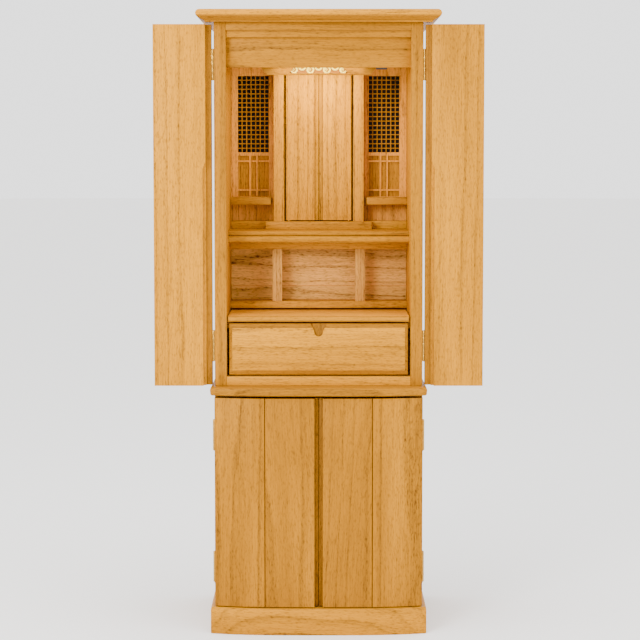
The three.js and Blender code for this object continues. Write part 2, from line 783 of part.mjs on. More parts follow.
// Hinges: a round knuckle and the plate that is fixed beside it
function hinge(x, y, z, plateX, plateY) {
  const knuckle = new THREE.CylinderGeometry(knuckleRadius, knuckleRadius, hingeLength, knuckleSides);
  knuckle.rotateX(Math.PI / 2);
  knuckle.translate(x, y, z);
  return join([knuckle, box(plateX, plateY, [z - hingeLength / 2, z + hingeLength / 2])]);
}
const sidePlateX = [-half - hingeFit - plateThickness, -half - hingeFit];
const hingeRows = [
  ['upper_hinge', 0, leafZ, hingeInset],
  ['lower_hinge', lowerCaseFront, lowerDoorZ, lowerHingeInset],
];
for (const [name, y, span, inset] of hingeRows) {
  const heights = { top: span[1] - inset, bottom: span[0] + inset };
  for (const [level, z] of Object.entries(heights)) {
    addPair(`${name}_${level}`, hinge(hingeX, y, z, sidePlateX, [y, y + plateWidth]), brass);
  }
}

// Fold hinges: knuckles in the groove between the leaves, plates on the outer leaf's edge
const foldOpen = 2 * hingeX - foldX;
const foldPlateX = [foldOpen + foldGroove - hingeFit - plateThickness, foldOpen + foldGroove - hingeFit];
const foldHeights = { top: leafZ[1] - hingeInset, bottom: leafZ[0] + hingeInset };
for (const [level, z] of Object.entries(foldHeights)) {
  const plateY = [0, leafThickness / 2 - leafGap];
  addPair(`fold_hinge_${level}`, hinge(foldOpen, 0, z, foldPlateX, plateY), brass);
}

const group = new THREE.Group();
cabinet.position.y = -(tierFront + caseBack) / 2;
group.add(cabinet);

export default group;
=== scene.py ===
import json
import math
import random

import bpy
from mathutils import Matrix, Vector


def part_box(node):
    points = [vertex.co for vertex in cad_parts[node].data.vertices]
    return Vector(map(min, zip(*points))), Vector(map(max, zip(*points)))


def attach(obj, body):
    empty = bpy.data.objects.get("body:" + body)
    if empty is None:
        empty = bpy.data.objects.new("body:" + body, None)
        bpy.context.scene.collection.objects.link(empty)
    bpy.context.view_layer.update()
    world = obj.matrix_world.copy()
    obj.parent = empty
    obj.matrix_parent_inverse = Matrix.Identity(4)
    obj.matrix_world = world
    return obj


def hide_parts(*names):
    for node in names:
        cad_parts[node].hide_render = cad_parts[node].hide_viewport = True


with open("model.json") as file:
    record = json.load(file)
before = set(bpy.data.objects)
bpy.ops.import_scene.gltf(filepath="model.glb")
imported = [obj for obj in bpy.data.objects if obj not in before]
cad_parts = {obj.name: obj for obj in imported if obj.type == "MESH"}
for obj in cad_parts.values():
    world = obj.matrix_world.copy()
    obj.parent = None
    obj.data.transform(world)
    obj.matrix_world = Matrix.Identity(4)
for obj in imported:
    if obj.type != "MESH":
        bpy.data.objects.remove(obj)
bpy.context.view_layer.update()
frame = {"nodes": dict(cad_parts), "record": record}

# Camera: a long lens, level with the cabinet's upper third and tipped a little down, so
# that it sees the tops of the boards and up under the header.
MM = 0.001
FRONT = -148 * MM  # the plane of the upper case's front edges, from which depths are measured
CAMERA_PLACE = (2.9 * MM, FRONT - 4368 * MM, 1011 * MM)
CAMERA_TIP = 4.63
CAMERA_LENS = 118
CAMERA_SENSOR = 36

bpy.ops.object.camera_add(location=CAMERA_PLACE, rotation=(math.radians(90 - CAMERA_TIP), 0, 0))
camera = bpy.context.object
camera.data.lens = CAMERA_LENS
camera.data.sensor_width = CAMERA_SENSOR
bpy.context.scene.camera = camera

# Studio: a wide floor in matt white paint, which gives an even pale ground without shine,
# in a soft white room. A large key light stands in front on the left, a weaker fill on the
# right and one hangs overhead.
FLOOR_RADIUS = 40
ROOM_BRIGHTNESS = 2.2
LIGHT_AIM = Vector((0, 0, 0.8))
STUDIO_LIGHTS = {
    "key light on the left": ((-1.75, -3.6, 1.9), 1.3, 150),
    "fill light on the right": ((2.6, -3.2, 1.4), 2.2, 44),
    "soft light overhead": ((0, -1.0, 4.4), 3.0, 90),
}


def linear(code):
    """An sRGB hex colour as the linear colour that a shader takes."""
    shares = [int(code[i : i + 2], 16) / 255 for i in (1, 3, 5)]
    return tuple(s / 12.92 if s <= 0.04045 else ((s + 0.055) / 1.055) ** 2.4 for s in shares) + (1.0,)


def finish(name, colour, roughness, metallic=0.0):
    """A material with its plain values set; gives it, its node tree and its shader."""
    material = bpy.data.materials.new(name)
    material.use_nodes = True
    shader = material.node_tree.nodes["Principled BSDF"]
    shader.inputs["Base Color"].default_value = linear(colour)
    shader.inputs["Roughness"].default_value = roughness
    shader.inputs["Metallic"].default_value = metallic
    return material, material.node_tree, shader


bpy.ops.object.select_all(action="DESELECT")
bpy.ops.mesh.primitive_circle_add(vertices=96, radius=FLOOR_RADIUS, fill_type="NGON")
floor = bpy.context.object
floor.name = "studio_floor"
floor.data.materials.append(finish("matt white studio paint", "#f6f5f3", 0.9)[0])

world = bpy.data.worlds.new("soft white room")
bpy.context.scene.world = world
world.use_nodes = True
world.node_tree.nodes["Background"].inputs["Color"].default_value = (1, 1, 1, 1)
world.node_tree.nodes["Background"].inputs["Strength"].default_value = ROOM_BRIGHTNESS

for light_name, (place, size, power) in STUDIO_LIGHTS.items():
    aim = (LIGHT_AIM - Vector(place)).to_track_quat("-Z", "Y").to_euler()
    bpy.ops.object.light_add(type="AREA", location=place, rotation=aim)
    light = bpy.context.object
    light.name = light_name
    light.data.size = size
    light.data.energy = power

# Base: a plinth frame with a bowed front, glued up from solid ash, oiled and lacquered
# to a honey gold. Every board of the cabinet is sawn to size and its edges are eased
# with a plane, and this section has what all of them need.
BODY_OF = {node: body for body, nodes in frame["record"]["behaviour"]["bodies"].items() for node in nodes}
HANDS = {"left": -1, "right": 1}


def only(piece):
    """Select and activate one object alone, in object mode."""
    if bpy.context.mode != "OBJECT":
        bpy.ops.object.mode_set(mode="OBJECT")
    bpy.ops.object.select_all(action="DESELECT")
    piece.select_set(True)
    bpy.context.view_layer.objects.active = piece


def board(node, ease=0.8, steps=2):
    """A piece with the form of its CAD node, its loose faces joined and its edges eased."""
    piece = bpy.data.objects.new(node + "_wood", frame["nodes"][node].data.copy())
    piece.data.materials.clear()
    bpy.context.scene.collection.objects.link(piece)
    only(piece)
    bpy.ops.object.mode_set(mode="EDIT")
    bpy.ops.mesh.select_all(action="SELECT")
    bpy.ops.mesh.customdata_custom_splitnormals_clear()
    bpy.ops.mesh.remove_doubles(threshold=0.01 * MM)
    bpy.ops.mesh.dissolve_limited(angle_limit=math.radians(0.5))
    bpy.ops.object.mode_set(mode="OBJECT")
    bevel = piece.modifiers.new("eased edges", "BEVEL")
    bevel.width = ease * MM
    bevel.segments = steps
    bevel.limit_method = "ANGLE"
    bevel.angle_limit = math.radians(30)
    bpy.ops.object.modifier_apply(modifier=bevel.name)
    bpy.ops.object.shade_smooth_by_angle(angle=math.radians(32))
    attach(piece, BODY_OF[node])
    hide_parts(node)
    return piece


def add(tree, kind, inputs=None, out=0, **settings):
    """A shader node with its settings and inputs, values or sockets; gives one output."""
    made = tree.nodes.new(kind)
    for name, value in settings.items():
        setattr(made, name, value)
    for key, value in (inputs or {}).items():
        if isinstance(value, bpy.types.NodeSocket):
            tree.links.new(value, made.inputs[key])
        else:
            made.inputs[key].default_value = value
    return made.outputs[out]


# Lacquered ash is ring-porous: each year starts with a dark line of open pores and fades
# into paler, denser wood, so a sawn face shows straight lines or arches, short pore dashes
# and a fine curl. Real pores are 0.3 mm wide; they and the fibre are drawn coarser to show.
PALE_ASH = "#c9850a"
RICH_ASH = "#9b6308"
PORE_ASH = "#56320a"
LACQUER_SHINE = 0.1
LACQUER_TINT = "#ffe2a6"
TURNS = {"x": (0, 90, 0), "y": (-90, 0, 0), "z": (0, 0, 0)}

# For each part of the figure: its width and length along the grain in millimetres, its
# detail, and how many millimetres it carries the rings sideways.
FIGURE = {
    "sway": (60, 480, 2.0, 16),
    "curl": (5, 14, 1.0, 1.6),
    "fibre": (2.2, 50, 1.0, 0),
    "pore": (2.2, 9, 1.0, 0),
    "streak": (14, 700, 1.0, 0),
    "cast": (80, 700, 1.0, 0),
}

# Across one year, from its first line of pores to the next: how dark the wood is.
YEAR_SHADES = ((0.0, 0.6), (0.05, 1.0), (0.16, 0.3), (0.45, 0.05), (0.95, 0.03), (1.0, 0.5))
YEARS_PER_DRIFT = 3.5
DRIFT_IN_YEARS = 2.6


def ash(piece, along, pith=(20, 90), lean=(0.6, 0.3), ring=9.0, rich=0.3, mark=1.0, stain_and_shade=0.0,
        pale=PALE_ASH, where=None):
    """Lacquered ash for a board. along is the grain's axis, pith how far the tree's heart
    lies from the board's middle, lean its slope in degrees and ring a year's width, all in
    millimetres. rich runs from pale to deep gold, and in some places it is painted shade;
    mark is how plain the lines show, stain_and_shade how much darker the wood is made, by a
    dark stain wiped in and in some places by painted shade; pale is the colour between the
    lines, in some places painted light, and where picks the board's faces by their centres."""
    corners = [Vector(c) for c in piece.bound_box]
    middle = sum(corners, Vector()) / len(corners)
    dice = random.Random(f"{piece.name} {len(piece.data.materials)}")
    px, py = (p * MM * dice.uniform(0.9, 1.1) for p in pith)
    heart_at = middle + Vector({"x": (0, py, -px), "y": (px, 0, -py), "z": (px, py, 0)}[along])
    turn = [math.radians(t + s) for t, s in zip(TURNS[along], (*lean, 0))]
    seed = dice.uniform(0, 60)
    material, tree, shader = finish(f"lacquered ash of {piece.name}", PALE_ASH, 0.42)
    shader.inputs["Specular IOR Level"].default_value = LACQUER_SHINE
    shader.inputs["Specular Tint"].default_value = linear(LACQUER_TINT)

    # The trunk's own frame, its heart along z, bent by its sway and by the curl.
    place = add(tree, "ShaderNodeTexCoord", out="Object")
    bent = add(tree, "ShaderNodeMapping", {"Vector": place, "Location": heart_at, "Rotation": turn},
               vector_type="TEXTURE")
    figure = {}
    for name, (across, length, detail, reach) in FIGURE.items():
        scale = (1 / (across * MM), 1 / (across * MM), 1 / (length * MM))
        stretched = add(tree, "ShaderNodeVectorMath", {0: bent, 1: scale, 2: (seed, seed, seed)},
                        operation="MULTIPLY_ADD")
        figure[name] = add(tree, "ShaderNodeTexNoise", {"Vector": stretched, "Scale": 1.0,
                           "Detail": detail}, out="Color" if reach else 0)
        if reach:
            shift = add(tree, "ShaderNodeVectorMath", {0: figure[name], 1: (-0.5, -0.5, -0.5)})
            bent = add(tree, "ShaderNodeVectorMath", {0: shift, 1: (reach * MM, reach * MM, 0),
                       2: bent}, operation="MULTIPLY_ADD")

    # The years: how far out from the heart, with wide and narrow years in turn.
    flat = add(tree, "ShaderNodeVectorMath", {0: bent, 1: (1, 1, 0)}, operation="MULTIPLY")
    radius = add(tree, "ShaderNodeVectorMath", {0: flat}, out="Value", operation="LENGTH")
    drift = add(tree, "ShaderNodeMath", {0: radius, 1: 1 / (YEARS_PER_DRIFT * ring * MM)},
                operation="MULTIPLY")
    drift = add(tree, "ShaderNodeTexNoise", {"W": drift, "Scale": 1.0, "Detail": 1.0},
                noise_dimensions="1D")
    age = add(tree, "ShaderNodeMath", {0: radius, 1: 1 / (ring * MM)}, operation="MULTIPLY")
    age = add(tree, "ShaderNodeMath", {0: drift, 1: DRIFT_IN_YEARS, 2: age}, operation="MULTIPLY_ADD")
    season = add(tree, "ShaderNodeMath", {0: age}, operation="FRACT")
    year = add(tree, "ShaderNodeMath", {0: age}, operation="FLOOR")
    line = add(tree, "ShaderNodeValToRGB", {"Fac": season})
    for at, shade in YEAR_SHADES:
        stops = line.node.color_ramp.elements
        stop = stops.new(at) if 0 < at < 1 else stops[0 if at == 0 else -1]
        stop.color = (shade, shade, shade, 1)
    vigour = add(tree, "ShaderNodeTexWhiteNoise", {"W": year}, noise_dimensions="1D")
    vigour = add(tree, "ShaderNodeMath", {0: vigour, 1: 0.6, 2: 0.25}, operation="MULTIPLY_ADD")
    line = add(tree, "ShaderNodeMath", {0: line, 1: vigour}, operation="MULTIPLY")

    # The pore dashes, denser on a year's line, and with the fibre the shade of it all.
    dash = add(tree, "ShaderNodeMath", {0: figure["pore"], 1: 5.0, 2: -2.55}, operation="MULTIPLY_ADD",
               use_clamp=True)
    dense = add(tree, "ShaderNodeMath", {0: line, 1: 0.25, 2: 0.5}, operation="MULTIPLY_ADD")
    dash = add(tree, "ShaderNodeMath", {0: dash, 1: dense}, operation="MULTIPLY")
    # The darkening here is part real dark stain and part painted shade, as each board's call says.
    shade = add(tree, "ShaderNodeMath", {0: line, 1: 0.7 * mark, 2: 0.08 + stain_and_shade}, operation="MULTIPLY_ADD")
    for part, weight in ((figure["fibre"], 0.8), (figure["streak"], 0.35)):
        centred = add(tree, "ShaderNodeMath", {0: part, 1: -0.5})
        shade = add(tree, "ShaderNodeMath", {0: centred, 1: weight, 2: shade}, operation="MULTIPLY_ADD")
    shade = add(tree, "ShaderNodeMath", {0: dash, 1: 0.7, 2: shade}, operation="MULTIPLY_ADD",
                use_clamp=True)

    # The colour, from pale to deep gold in broad casts and dark in the pores.
    depth = add(tree, "ShaderNodeMath", {0: figure["cast"], 1: 1.4, 2: rich - 0.7},
                operation="MULTIPLY_ADD", use_clamp=True)
    ground = add(tree, "ShaderNodeMix", {"Factor": depth, 6: linear(pale), 7: linear(RICH_ASH)},
                 out=2, data_type="RGBA")
    colour = add(tree, "ShaderNodeMix", {"Factor": shade, 6: ground, 7: linear(PORE_ASH)},
                 out=2, data_type="RGBA")
    tree.links.new(colour, shader.inputs["Base Color"])

    # The pores lie open under the lacquer: duller, and a little hollow.
    gloss = add(tree, "ShaderNodeMath", {0: dash, 1: 0.25, 2: 0.4}, operation="MULTIPLY_ADD")
    tree.links.new(gloss, shader.inputs["Roughness"])
    hollow = add(tree, "ShaderNodeMath", {0: line, 1: -0.4}, operation="MULTIPLY")
    hollow = add(tree, "ShaderNodeMath", {0: dash, 1: -0.6, 2: hollow}, operation="MULTIPLY_ADD")
    relief = add(tree, "ShaderNodeBump", {"Height": hollow, "Strength": 0.4, "Distance": 0.3 * MM})
    tree.links.new(relief, shader.inputs["Normal"])
    piece.data.materials.append(material)
    for face in piece.data.polygons:
        if where is None or where(face.center):
            face.material_index = len(piece.data.materials) - 1


ash(board("base_plinth", 1.2), "x", pith=(-60, 60), lean=(0.5, 1.6), ring=12, rich=0.55)

# Lower case: sides framed between a front and a back stile, a floor and a thin back, all
# of ash and glued together. Only the sides show while its doors are shut.
LOWER_FRONT = FRONT - 8 * MM
STILE_DEPTH = 30 * MM


def case_side(node, front):
    """A case side: upright stiles at its front and back edges and a panel between them."""
    side = board(node)
    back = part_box(node)[1].y

    def in_panel(centre):
        return front + STILE_DEPTH < centre.y < back - STILE_DEPTH

    ash(side, "z", pith=(55, -30), lean=(0.2, 0.3), ring=7, rich=0.8, where=lambda c: not in_panel(c))
    ash(side, "z", pith=(85, 35), lean=(0.6, 0.9), ring=11, where=in_panel)


for hand in HANDS:
    case_side(f"lower_side_{hand}", LOWER_FRONT)
ash(board("lower_floor"), "x", pith=(30, 70))
ash(board("lower_back"), "z", pith=(15, 120), lean=(0.9, 0.4), ring=12)

# Lower doors: two ash boards each, bowed on the outside, the outer ones straight in the
# grain, the inner ones broader in the figure and deeper in colour. Dark stain is wiped
# into the groove along their seam; the rebate for the fingers where they meet is darkened as painted shade.
SEAM = 112 * MM
SEAM_HALF = 1.1 * MM
REBATE = 9 * MM
for hand, sign in HANDS.items():
    door = board(f"lower_door_{hand}", 0.5)
    ash(door, "z", pith=(75 * sign, 70), lean=(0.2, 0.25), ring=15, rich=0.75,
        where=lambda c: abs(c.x) >= SEAM)
    ash(door, "z", pith=(35, 75), lean=(0.8, 3.2 * sign), ring=16, rich=0.95, mark=0.8,
        where=lambda c: abs(c.x) < SEAM)
    # Painted shade: the finger rebate is darkened for the shade that falls inside it.
    ash(door, "z", ring=8, rich=1.0, stain_and_shade=0.35, where=lambda c: abs(c.x) < REBATE)
    ash(door, "z", ring=8, rich=1.0, stain_and_shade=0.85, where=lambda c: abs(abs(c.x) - SEAM) < SEAM_HALF)

# Tier board between the cases: one long board of ash, bowed and rounded along its front,
# glued to the lower case. The upper case stands on it.
ash(board("tier_board", 0.4), "x", pith=(-40, 70), lean=(0.2, 0.4), ring=10, rich=0.95)

# Upper case: framed sides as below, a floor board whose front edge is the bottom rail,
# and a thin back. The stiles stand on the tier board and carry the crown.
for hand in HANDS:
    case_side(f"upper_side_{hand}", FRONT)
ash(board("upper_floor"), "x", pith=(40, 60), lean=(0.3, 0.2), ring=10, rich=0.05)
ash(board("upper_back"), "z", pith=(-25, 140), lean=(0.9, 0.3), ring=12)

# Crown and cornice: a wide crown run on the spindle, a round nose over an ogee whose deeper
# colour is painted shade, and stepped strips below it between the stiles, with a plain header board set
# back.
NOSE_HEIGHT = 13 * MM
OGEE_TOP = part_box("crown")[1].z - NOSE_HEIGHT
crown = board("crown", 0.5, 1)
ash(crown, "x", pith=(70, 90), lean=(0.3, 0.2), ring=11, rich=0.15)
# Painted shade: the ogee under the nose is given deeper wood.
ash(crown, "x", pith=(70, 90), lean=(0.3, 0.2), ring=11, rich=1.0, where=lambda c: c.z < OGEE_TOP)
ash(board("cornice", 0.7), "x", pith=(25, 60), lean=(0.3, 0.7), ring=7, rich=0.75)
ash(board("header_board"), "x", pith=(30, 80), lean=(0.5, 0.5), ring=13, rich=0.7)
ash(board("ceiling_board"), "x", pith=(70, 20))

# Valance: an ash board with sloping ends, fixed under the ceiling in front of the shrine,
# with an opening for the carving. The lamp shines on it from in front.
ash(board("valance", 0.5), "x", pith=(15, 90), ring=7, rich=0.9)

# Carved transom: rolling clouds in high relief on a thin web, cut from a pale unlacquered
# board of cypress. Each cloud is a fat ring with a curl inside it. The tops are creamy and
# matt, and the hollows are painted a deep orange brown as painted shade.
TRANSOM_LOW, TRANSOM_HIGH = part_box("transom_carving")
TRANSOM_RISE = TRANSOM_HIGH.z - TRANSOM_LOW.z
TRANSOM_WIDTH = TRANSOM_HIGH.x - TRANSOM_LOW.x
TRANSOM_SLOPE = 16 * MM
CLOUDS = 7
CLOUD_LEVELS = (7.2 * MM, 13.4 * MM)
CLOUD_FACE = TRANSOM_LOW.y + 2.6 * MM
WEB_THICKNESS = 1.6 * MM
WEB_MIDDLE = CLOUD_FACE + 2.2 * MM
CHISEL_MARK = 0.42 * MM

# For each ring of a cloud: its place beside and above the cloud's middle, its radius and
# the radius of its rim, in millimetres.
CLOUD_RINGS = ((0, 0, 6.4, 2.3), (0.9, 0.5, 1.8, 1.2))


def as_pattern(piece):
    """Take a modelled piece out of the scene and give its mesh, to be copied to its places."""
    mesh = piece.data
    bpy.data.objects.remove(piece)
    return mesh


def copy_of(pattern, name, place, turn=(0, 0, 0)):
    """A copy of a pattern with its own mesh, turned and set at its place."""
    piece = bpy.data.objects.new(name, pattern.copy())
    bpy.context.scene.collection.objects.link(piece)
    piece.location = place
    piece.rotation_euler = turn
    only(piece)
    bpy.ops.object.transform_apply(location=True, rotation=True, scale=True)
    return piece


def joined(parts):
    """Pieces that touch or lie in each other, as one object."""
    only(parts[0])
    for part in parts:
        part.select_set(True)
    bpy.ops.object.join()
    bpy.ops.object.transform_apply(location=True, rotation=True, scale=True)
    return bpy.context.object


transom_parts = []
for right, up, radius, rim in CLOUD_RINGS:
    bpy.ops.object.select_all(action="DESELECT")
    bpy.ops.mesh.primitive_torus_add(major_segments=40, minor_segments=12, major_radius=radius * MM,
                                     minor_radius=rim * MM, rotation=(math.radians(90), 0, 0))
    bpy.ops.object.transform_apply(location=True, rotation=True, scale=True)
    cloud_ring = as_pattern(bpy.context.object)
    for index in range(CLOUDS):
        side = 1 if index % 2 else -1
        x = TRANSOM_LOW.x + TRANSOM_WIDTH * (index + 0.5) / CLOUDS + side * right * MM
        z = TRANSOM_LOW.z + CLOUD_LEVELS[index % 2] + up * MM
        transom_parts.append(copy_of(cloud_ring, "cloud_ring", (x, CLOUD_FACE, z)))
bpy.ops.object.select_all(action="DESELECT")
bpy.ops.mesh.primitive_cube_add(size=1, location=(0, WEB_MIDDLE, TRANSOM_LOW.z + TRANSOM_RISE / 2))
web = bpy.context.object
web.scale = (TRANSOM_WIDTH, WEB_THICKNESS, TRANSOM_RISE)
transom_parts.append(web)
transom = joined(transom_parts)
transom.name = "carved_transom_clouds"
remesh = transom.modifiers.new("one piece of wood", "REMESH")
remesh.mode = "VOXEL"
remesh.voxel_size = CHISEL_MARK
bpy.ops.object.modifier_apply(modifier=remesh.name)
soften = transom.modifiers.new("sanded", "SMOOTH")
soften.factor = 0.5
soften.iterations = 2
bpy.ops.object.modifier_apply(modifier=soften.name)
bpy.ops.object.mode_set(mode="EDIT")
for at, facing in (
    ((0, 0, TRANSOM_LOW.z), (0, 0, -1)),
    ((0, 0, TRANSOM_HIGH.z), (0, 0, 1)),
    ((TRANSOM_HIGH.x, 0, TRANSOM_LOW.z), (TRANSOM_RISE, 0, TRANSOM_SLOPE)),
    ((TRANSOM_LOW.x, 0, TRANSOM_LOW.z), (-TRANSOM_RISE, 0, TRANSOM_SLOPE)),
):
    bpy.ops.mesh.select_all(action="SELECT")
    bpy.ops.mesh.bisect(plane_co=at, plane_no=facing, use_fill=True, clear_outer=True)
bpy.ops.object.mode_set(mode="OBJECT")
bpy.ops.object.shade_smooth_by_angle(angle=math.radians(50))

# The cypress shows faint grain lines, drawn 1.1 mm apart, which is coarser than real.
CYPRESS_LINES_PER_MM = (0.06, 0.06, 0.9)
CYPRESS_PALE = "#fbe29a"
CYPRESS_LINE = "#e4bc62"
# Painted shade: the deeper a surface lies behind the clouds' faces, the more orange brown it is painted.
CLOUD_HOLLOW_SHADE = "#a05c0c"
HOLLOW_SHADE_STARTS = CLOUD_FACE - 1.4 * MM
HOLLOW_SHADE_IS_FULL = CLOUD_FACE + 0.2 * MM
cypress, cypress_tree, cypress_shader = finish("carved white cypress", CYPRESS_PALE, 0.6)
cypress_place = add(cypress_tree, "ShaderNodeTexCoord", out="Object")
cypress_scale = [lines / MM for lines in CYPRESS_LINES_PER_MM]
cypress_grain = add(cypress_tree, "ShaderNodeMapping", {"Vector": cypress_place, "Scale": cypress_scale})
cypress_grain = add(cypress_tree, "ShaderNodeTexNoise", {"Vector": cypress_grain, "Scale": 1.0,
                    "Detail": 3.0})
cypress_top = add(cypress_tree, "ShaderNodeMix", {"Factor": cypress_grain, 6: linear(CYPRESS_PALE),
                  7: linear(CYPRESS_LINE)}, out=2, data_type="RGBA")
# Painted shade in the hollows: the colour turns from the pale top to the orange brown with depth.
cypress_depth = add(cypress_tree, "ShaderNodeSeparateXYZ", {0: cypress_place}, out=1)
cypress_depth = add(cypress_tree, "ShaderNodeMapRange", {"Value": cypress_depth,
                    "From Min": HOLLOW_SHADE_STARTS, "From Max": HOLLOW_SHADE_IS_FULL})
cypress_colour = add(cypress_tree, "ShaderNodeMix", {"Factor": cypress_depth, 6: cypress_top,
                     7: linear(CLOUD_HOLLOW_SHADE)}, out=2, data_type="RGBA")
cypress_tree.links.new(cypress_colour, cypress_shader.inputs["Base Color"])
cypress_bump = add(cypress_tree, "ShaderNodeBump", {"Height": cypress_grain, "Strength": 0.25,
                   "Distance": 0.15 * MM})
cypress_tree.links.new(cypress_bump, cypress_shader.inputs["Normal"])
transom.data.materials.append(cypress)
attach(transom, "cabinet")
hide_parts("transom_carving")

# Lamp: a flat strip housing of dark moulded ABS screwed to the ceiling behind the header,
# with its switch block at the right and a frosted strip of lit diodes along its bottom.
# The fine moulded grit takes the shine off the plastic; it is drawn coarser than real.
GRIT = 0.7 * MM
housing = board("lamp", 1.0)
abs_plastic, abs_tree, abs_shader = finish("dark moulded ABS", "#1c1613", 0.5)
grit = add(abs_tree, "ShaderNodeTexNoise", {"Vector": add(abs_tree, "ShaderNodeTexCoord", out="Object"),
           "Scale": 1 / GRIT, "Detail": 2.0})
abs_bump = add(abs_tree, "ShaderNodeBump", {"Height": grit, "Strength": 0.2, "Distance": 0.1 * MM})
abs_tree.links.new(abs_bump, abs_shader.inputs["Normal"])
abs_gloss = add(abs_tree, "ShaderNodeMath", {0: grit, 1: 0.2, 2: 0.4}, operation="MULTIPLY_ADD")
abs_tree.links.new(abs_gloss, abs_shader.inputs["Roughness"])
housing.data.materials.append(abs_plastic)

# Frosted acrylic spreads the light of the diodes behind it into soft waves.
LAMP_WARMTH = (1.0, 0.93, 0.06)
LAMP_LOW, LAMP_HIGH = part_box("lamp")
HOUSING_HEIGHT = 11 * MM
DIFFUSER_SIZE = (190 * MM, 11 * MM, 1.4 * MM)
DIFFUSER_SINK = 0.6 * MM
DIODE_PITCH = 9 * MM
diffuser_z = LAMP_HIGH.z - HOUSING_HEIGHT - DIFFUSER_SINK
bpy.ops.object.select_all(action="DESELECT")
bpy.ops.mesh.primitive_cube_add(size=1, location=(0, (LAMP_LOW.y + LAMP_HIGH.y) / 2, diffuser_z))
diffuser = bpy.context.object
diffuser.name = "lamp_diffuser"
diffuser.scale = DIFFUSER_SIZE
bpy.ops.object.transform_apply(location=True, rotation=True, scale=True)
rounding = diffuser.modifiers.new("moulded edges", "BEVEL")
rounding.width = 0.6 * MM
rounding.segments = 3
bpy.ops.object.modifier_apply(modifier=rounding.name)
bpy.ops.object.shade_smooth_by_angle(angle=math.radians(40))
frosted, frosted_tree, frosted_shader = finish("frosted acrylic lit from inside", "#fff1d6", 0.55)
diodes = add(frosted_tree, "ShaderNodeTexCoord", out="Object")
diodes = add(frosted_tree, "ShaderNodeSeparateXYZ", {0: diodes})
diodes = add(frosted_tree, "ShaderNodeMath", {0: diodes, 1: math.tau / DIODE_PITCH}, operation="MULTIPLY")
diodes = add(frosted_tree, "ShaderNodeMath", {0: diodes}, operation="COSINE")
diodes = add(frosted_tree, "ShaderNodeMath", {0: diodes, 1: 1.2, 2: 3.0}, operation="MULTIPLY_ADD")
frosted_tree.links.new(diodes, frosted_shader.inputs["Emission Strength"])
frosted_shader.inputs["Emission Color"].default_value = (*LAMP_WARMTH, 1)
diffuser.data.materials.append(frosted)
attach(diffuser, "cabinet")

LAMP_LIGHTS = {
    "warm light of the lamp": ((0, FRONT + 46 * MM, 1185 * MM), (50, 0, 0), (190, 8), 0.1),
    "warm light thrown past the valance": ((0, FRONT + 110 * MM, 1190 * MM), (18, 0, 0), (170, 50), 1.05),
}
for light_name, (place, tip, (width, depth), power) in LAMP_LIGHTS.items():
    bpy.ops.object.light_add(type="AREA", location=place, rotation=[math.radians(t) for t in tip])
    light = bpy.context.object
    light.name = light_name
    light.data.shape = "RECTANGLE"
    light.data.size = width * MM
    light.data.size_y = depth * MM
    light.data.energy = power
    light.data.color = LAMP_WARMTH

# Drawer: an ash front with a raised field, a sloping border and a finger notch, the border
# and the notch darkened as painted shade, glued to an open box of thin boards. It runs between the case
# sides.
FIELD_RISE = 1.0 * MM
NOTCH_HALF = 16.5 * MM
NOTCH_DEPTH = 28 * MM
drawer_front = board("drawer_front", 0.5)
DRAWER_LOW, DRAWER_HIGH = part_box("drawer_front")


def in_border(centre):
    """Behind the field's face: the sloping border, the edges and the notch."""
    return centre.y > DRAWER_LOW.y + FIELD_RISE


def in_notch(centre):
    """Inside the finger notch at the middle of the top edge."""
    return abs(centre.x) < NOTCH_HALF and centre.z > DRAWER_HIGH.z - NOTCH_DEPTH and in_border(centre)


ash(drawer_front, "x", pith=(-30, 90), lean=(0.4, 0.5), ring=12, rich=0.1, mark=0.8)
# Painted shade: the sloping border, the edges and the notch are given deeper wood.
ash(drawer_front, "x", pith=(-30, 90), ring=12, rich=0.9, where=in_border)
# Painted shade: the notch is darker still, for the shade inside it.
ash(drawer_front, "z", ring=8, rich=1.0, stain_and_shade=0.25, where=in_notch)
ash(board("drawer_box"), "y", pith=(30, 60))

# Pull-out board: an ash board that slides over the drawer on a runner at each side, its
# front edge round and its front corners softened. Its top is painted paler and more orange
# than its front edge, as painted warm light of the lamp.
TRAY_EDGE = 12 * MM
tray = board("pull_out_board", 0.3, 1)
TRAY_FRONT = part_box("pull_out_board")[0].y + TRAY_EDGE
# Painted light: the top's paler, more orange ash stands in for the lamp's warm light.
ash(tray, "x", pith=(60, 60), ring=9, rich=0.0, pale="#f0a010")
ash(tray, "x", pith=(60, 60), ring=9, rich=0.6, where=lambda c: c.y < TRAY_FRONT)
for hand in HANDS:
    ash(board(f"tray_runner_{hand}"), "y", pith=(30, 60))

# Niche: a sill, two posts and a rail of ash in front of a back panel, which is glued up
# from two boards whose seam shows as a fine line. The back panel and the posts are given a
# paler, greyer ash as painted light, to stand in for light in the shaded niche.
NICHE_SEAM = 714.5 * MM
# Painted light: a paler, greyer ash for the shaded niche's back panel and posts.
NICHE_PAINTED_LIGHT = "#e5a44b"
for node in ("niche_sill", "niche_rail"):
    ash(board(node), "x", pith=(20, 70), ring=7, rich=0.2)
for hand in HANDS:
    # Painted light: the posts' paler, greyer ash stands in for light in the shaded niche.
    ash(board(f"niche_post_{hand}"), "z", pith=(60, 20), lean=(0.2, 0.2), ring=7, rich=0.1, pale="#d69a45")
niche_back = board("niche_back", 0.3)
ash(niche_back, "x", pith=(-20, 60), lean=(0.4, 1.2), ring=10, rich=0.05, pale=NICHE_PAINTED_LIGHT,
    where=lambda c: c.z > NICHE_SEAM)
ash(niche_back, "x", pith=(40, 60), lean=(0.4, 0.5), ring=9, rich=0.1, pale=NICHE_PAINTED_LIGHT,
    where=lambda c: c.z <= NICHE_SEAM)

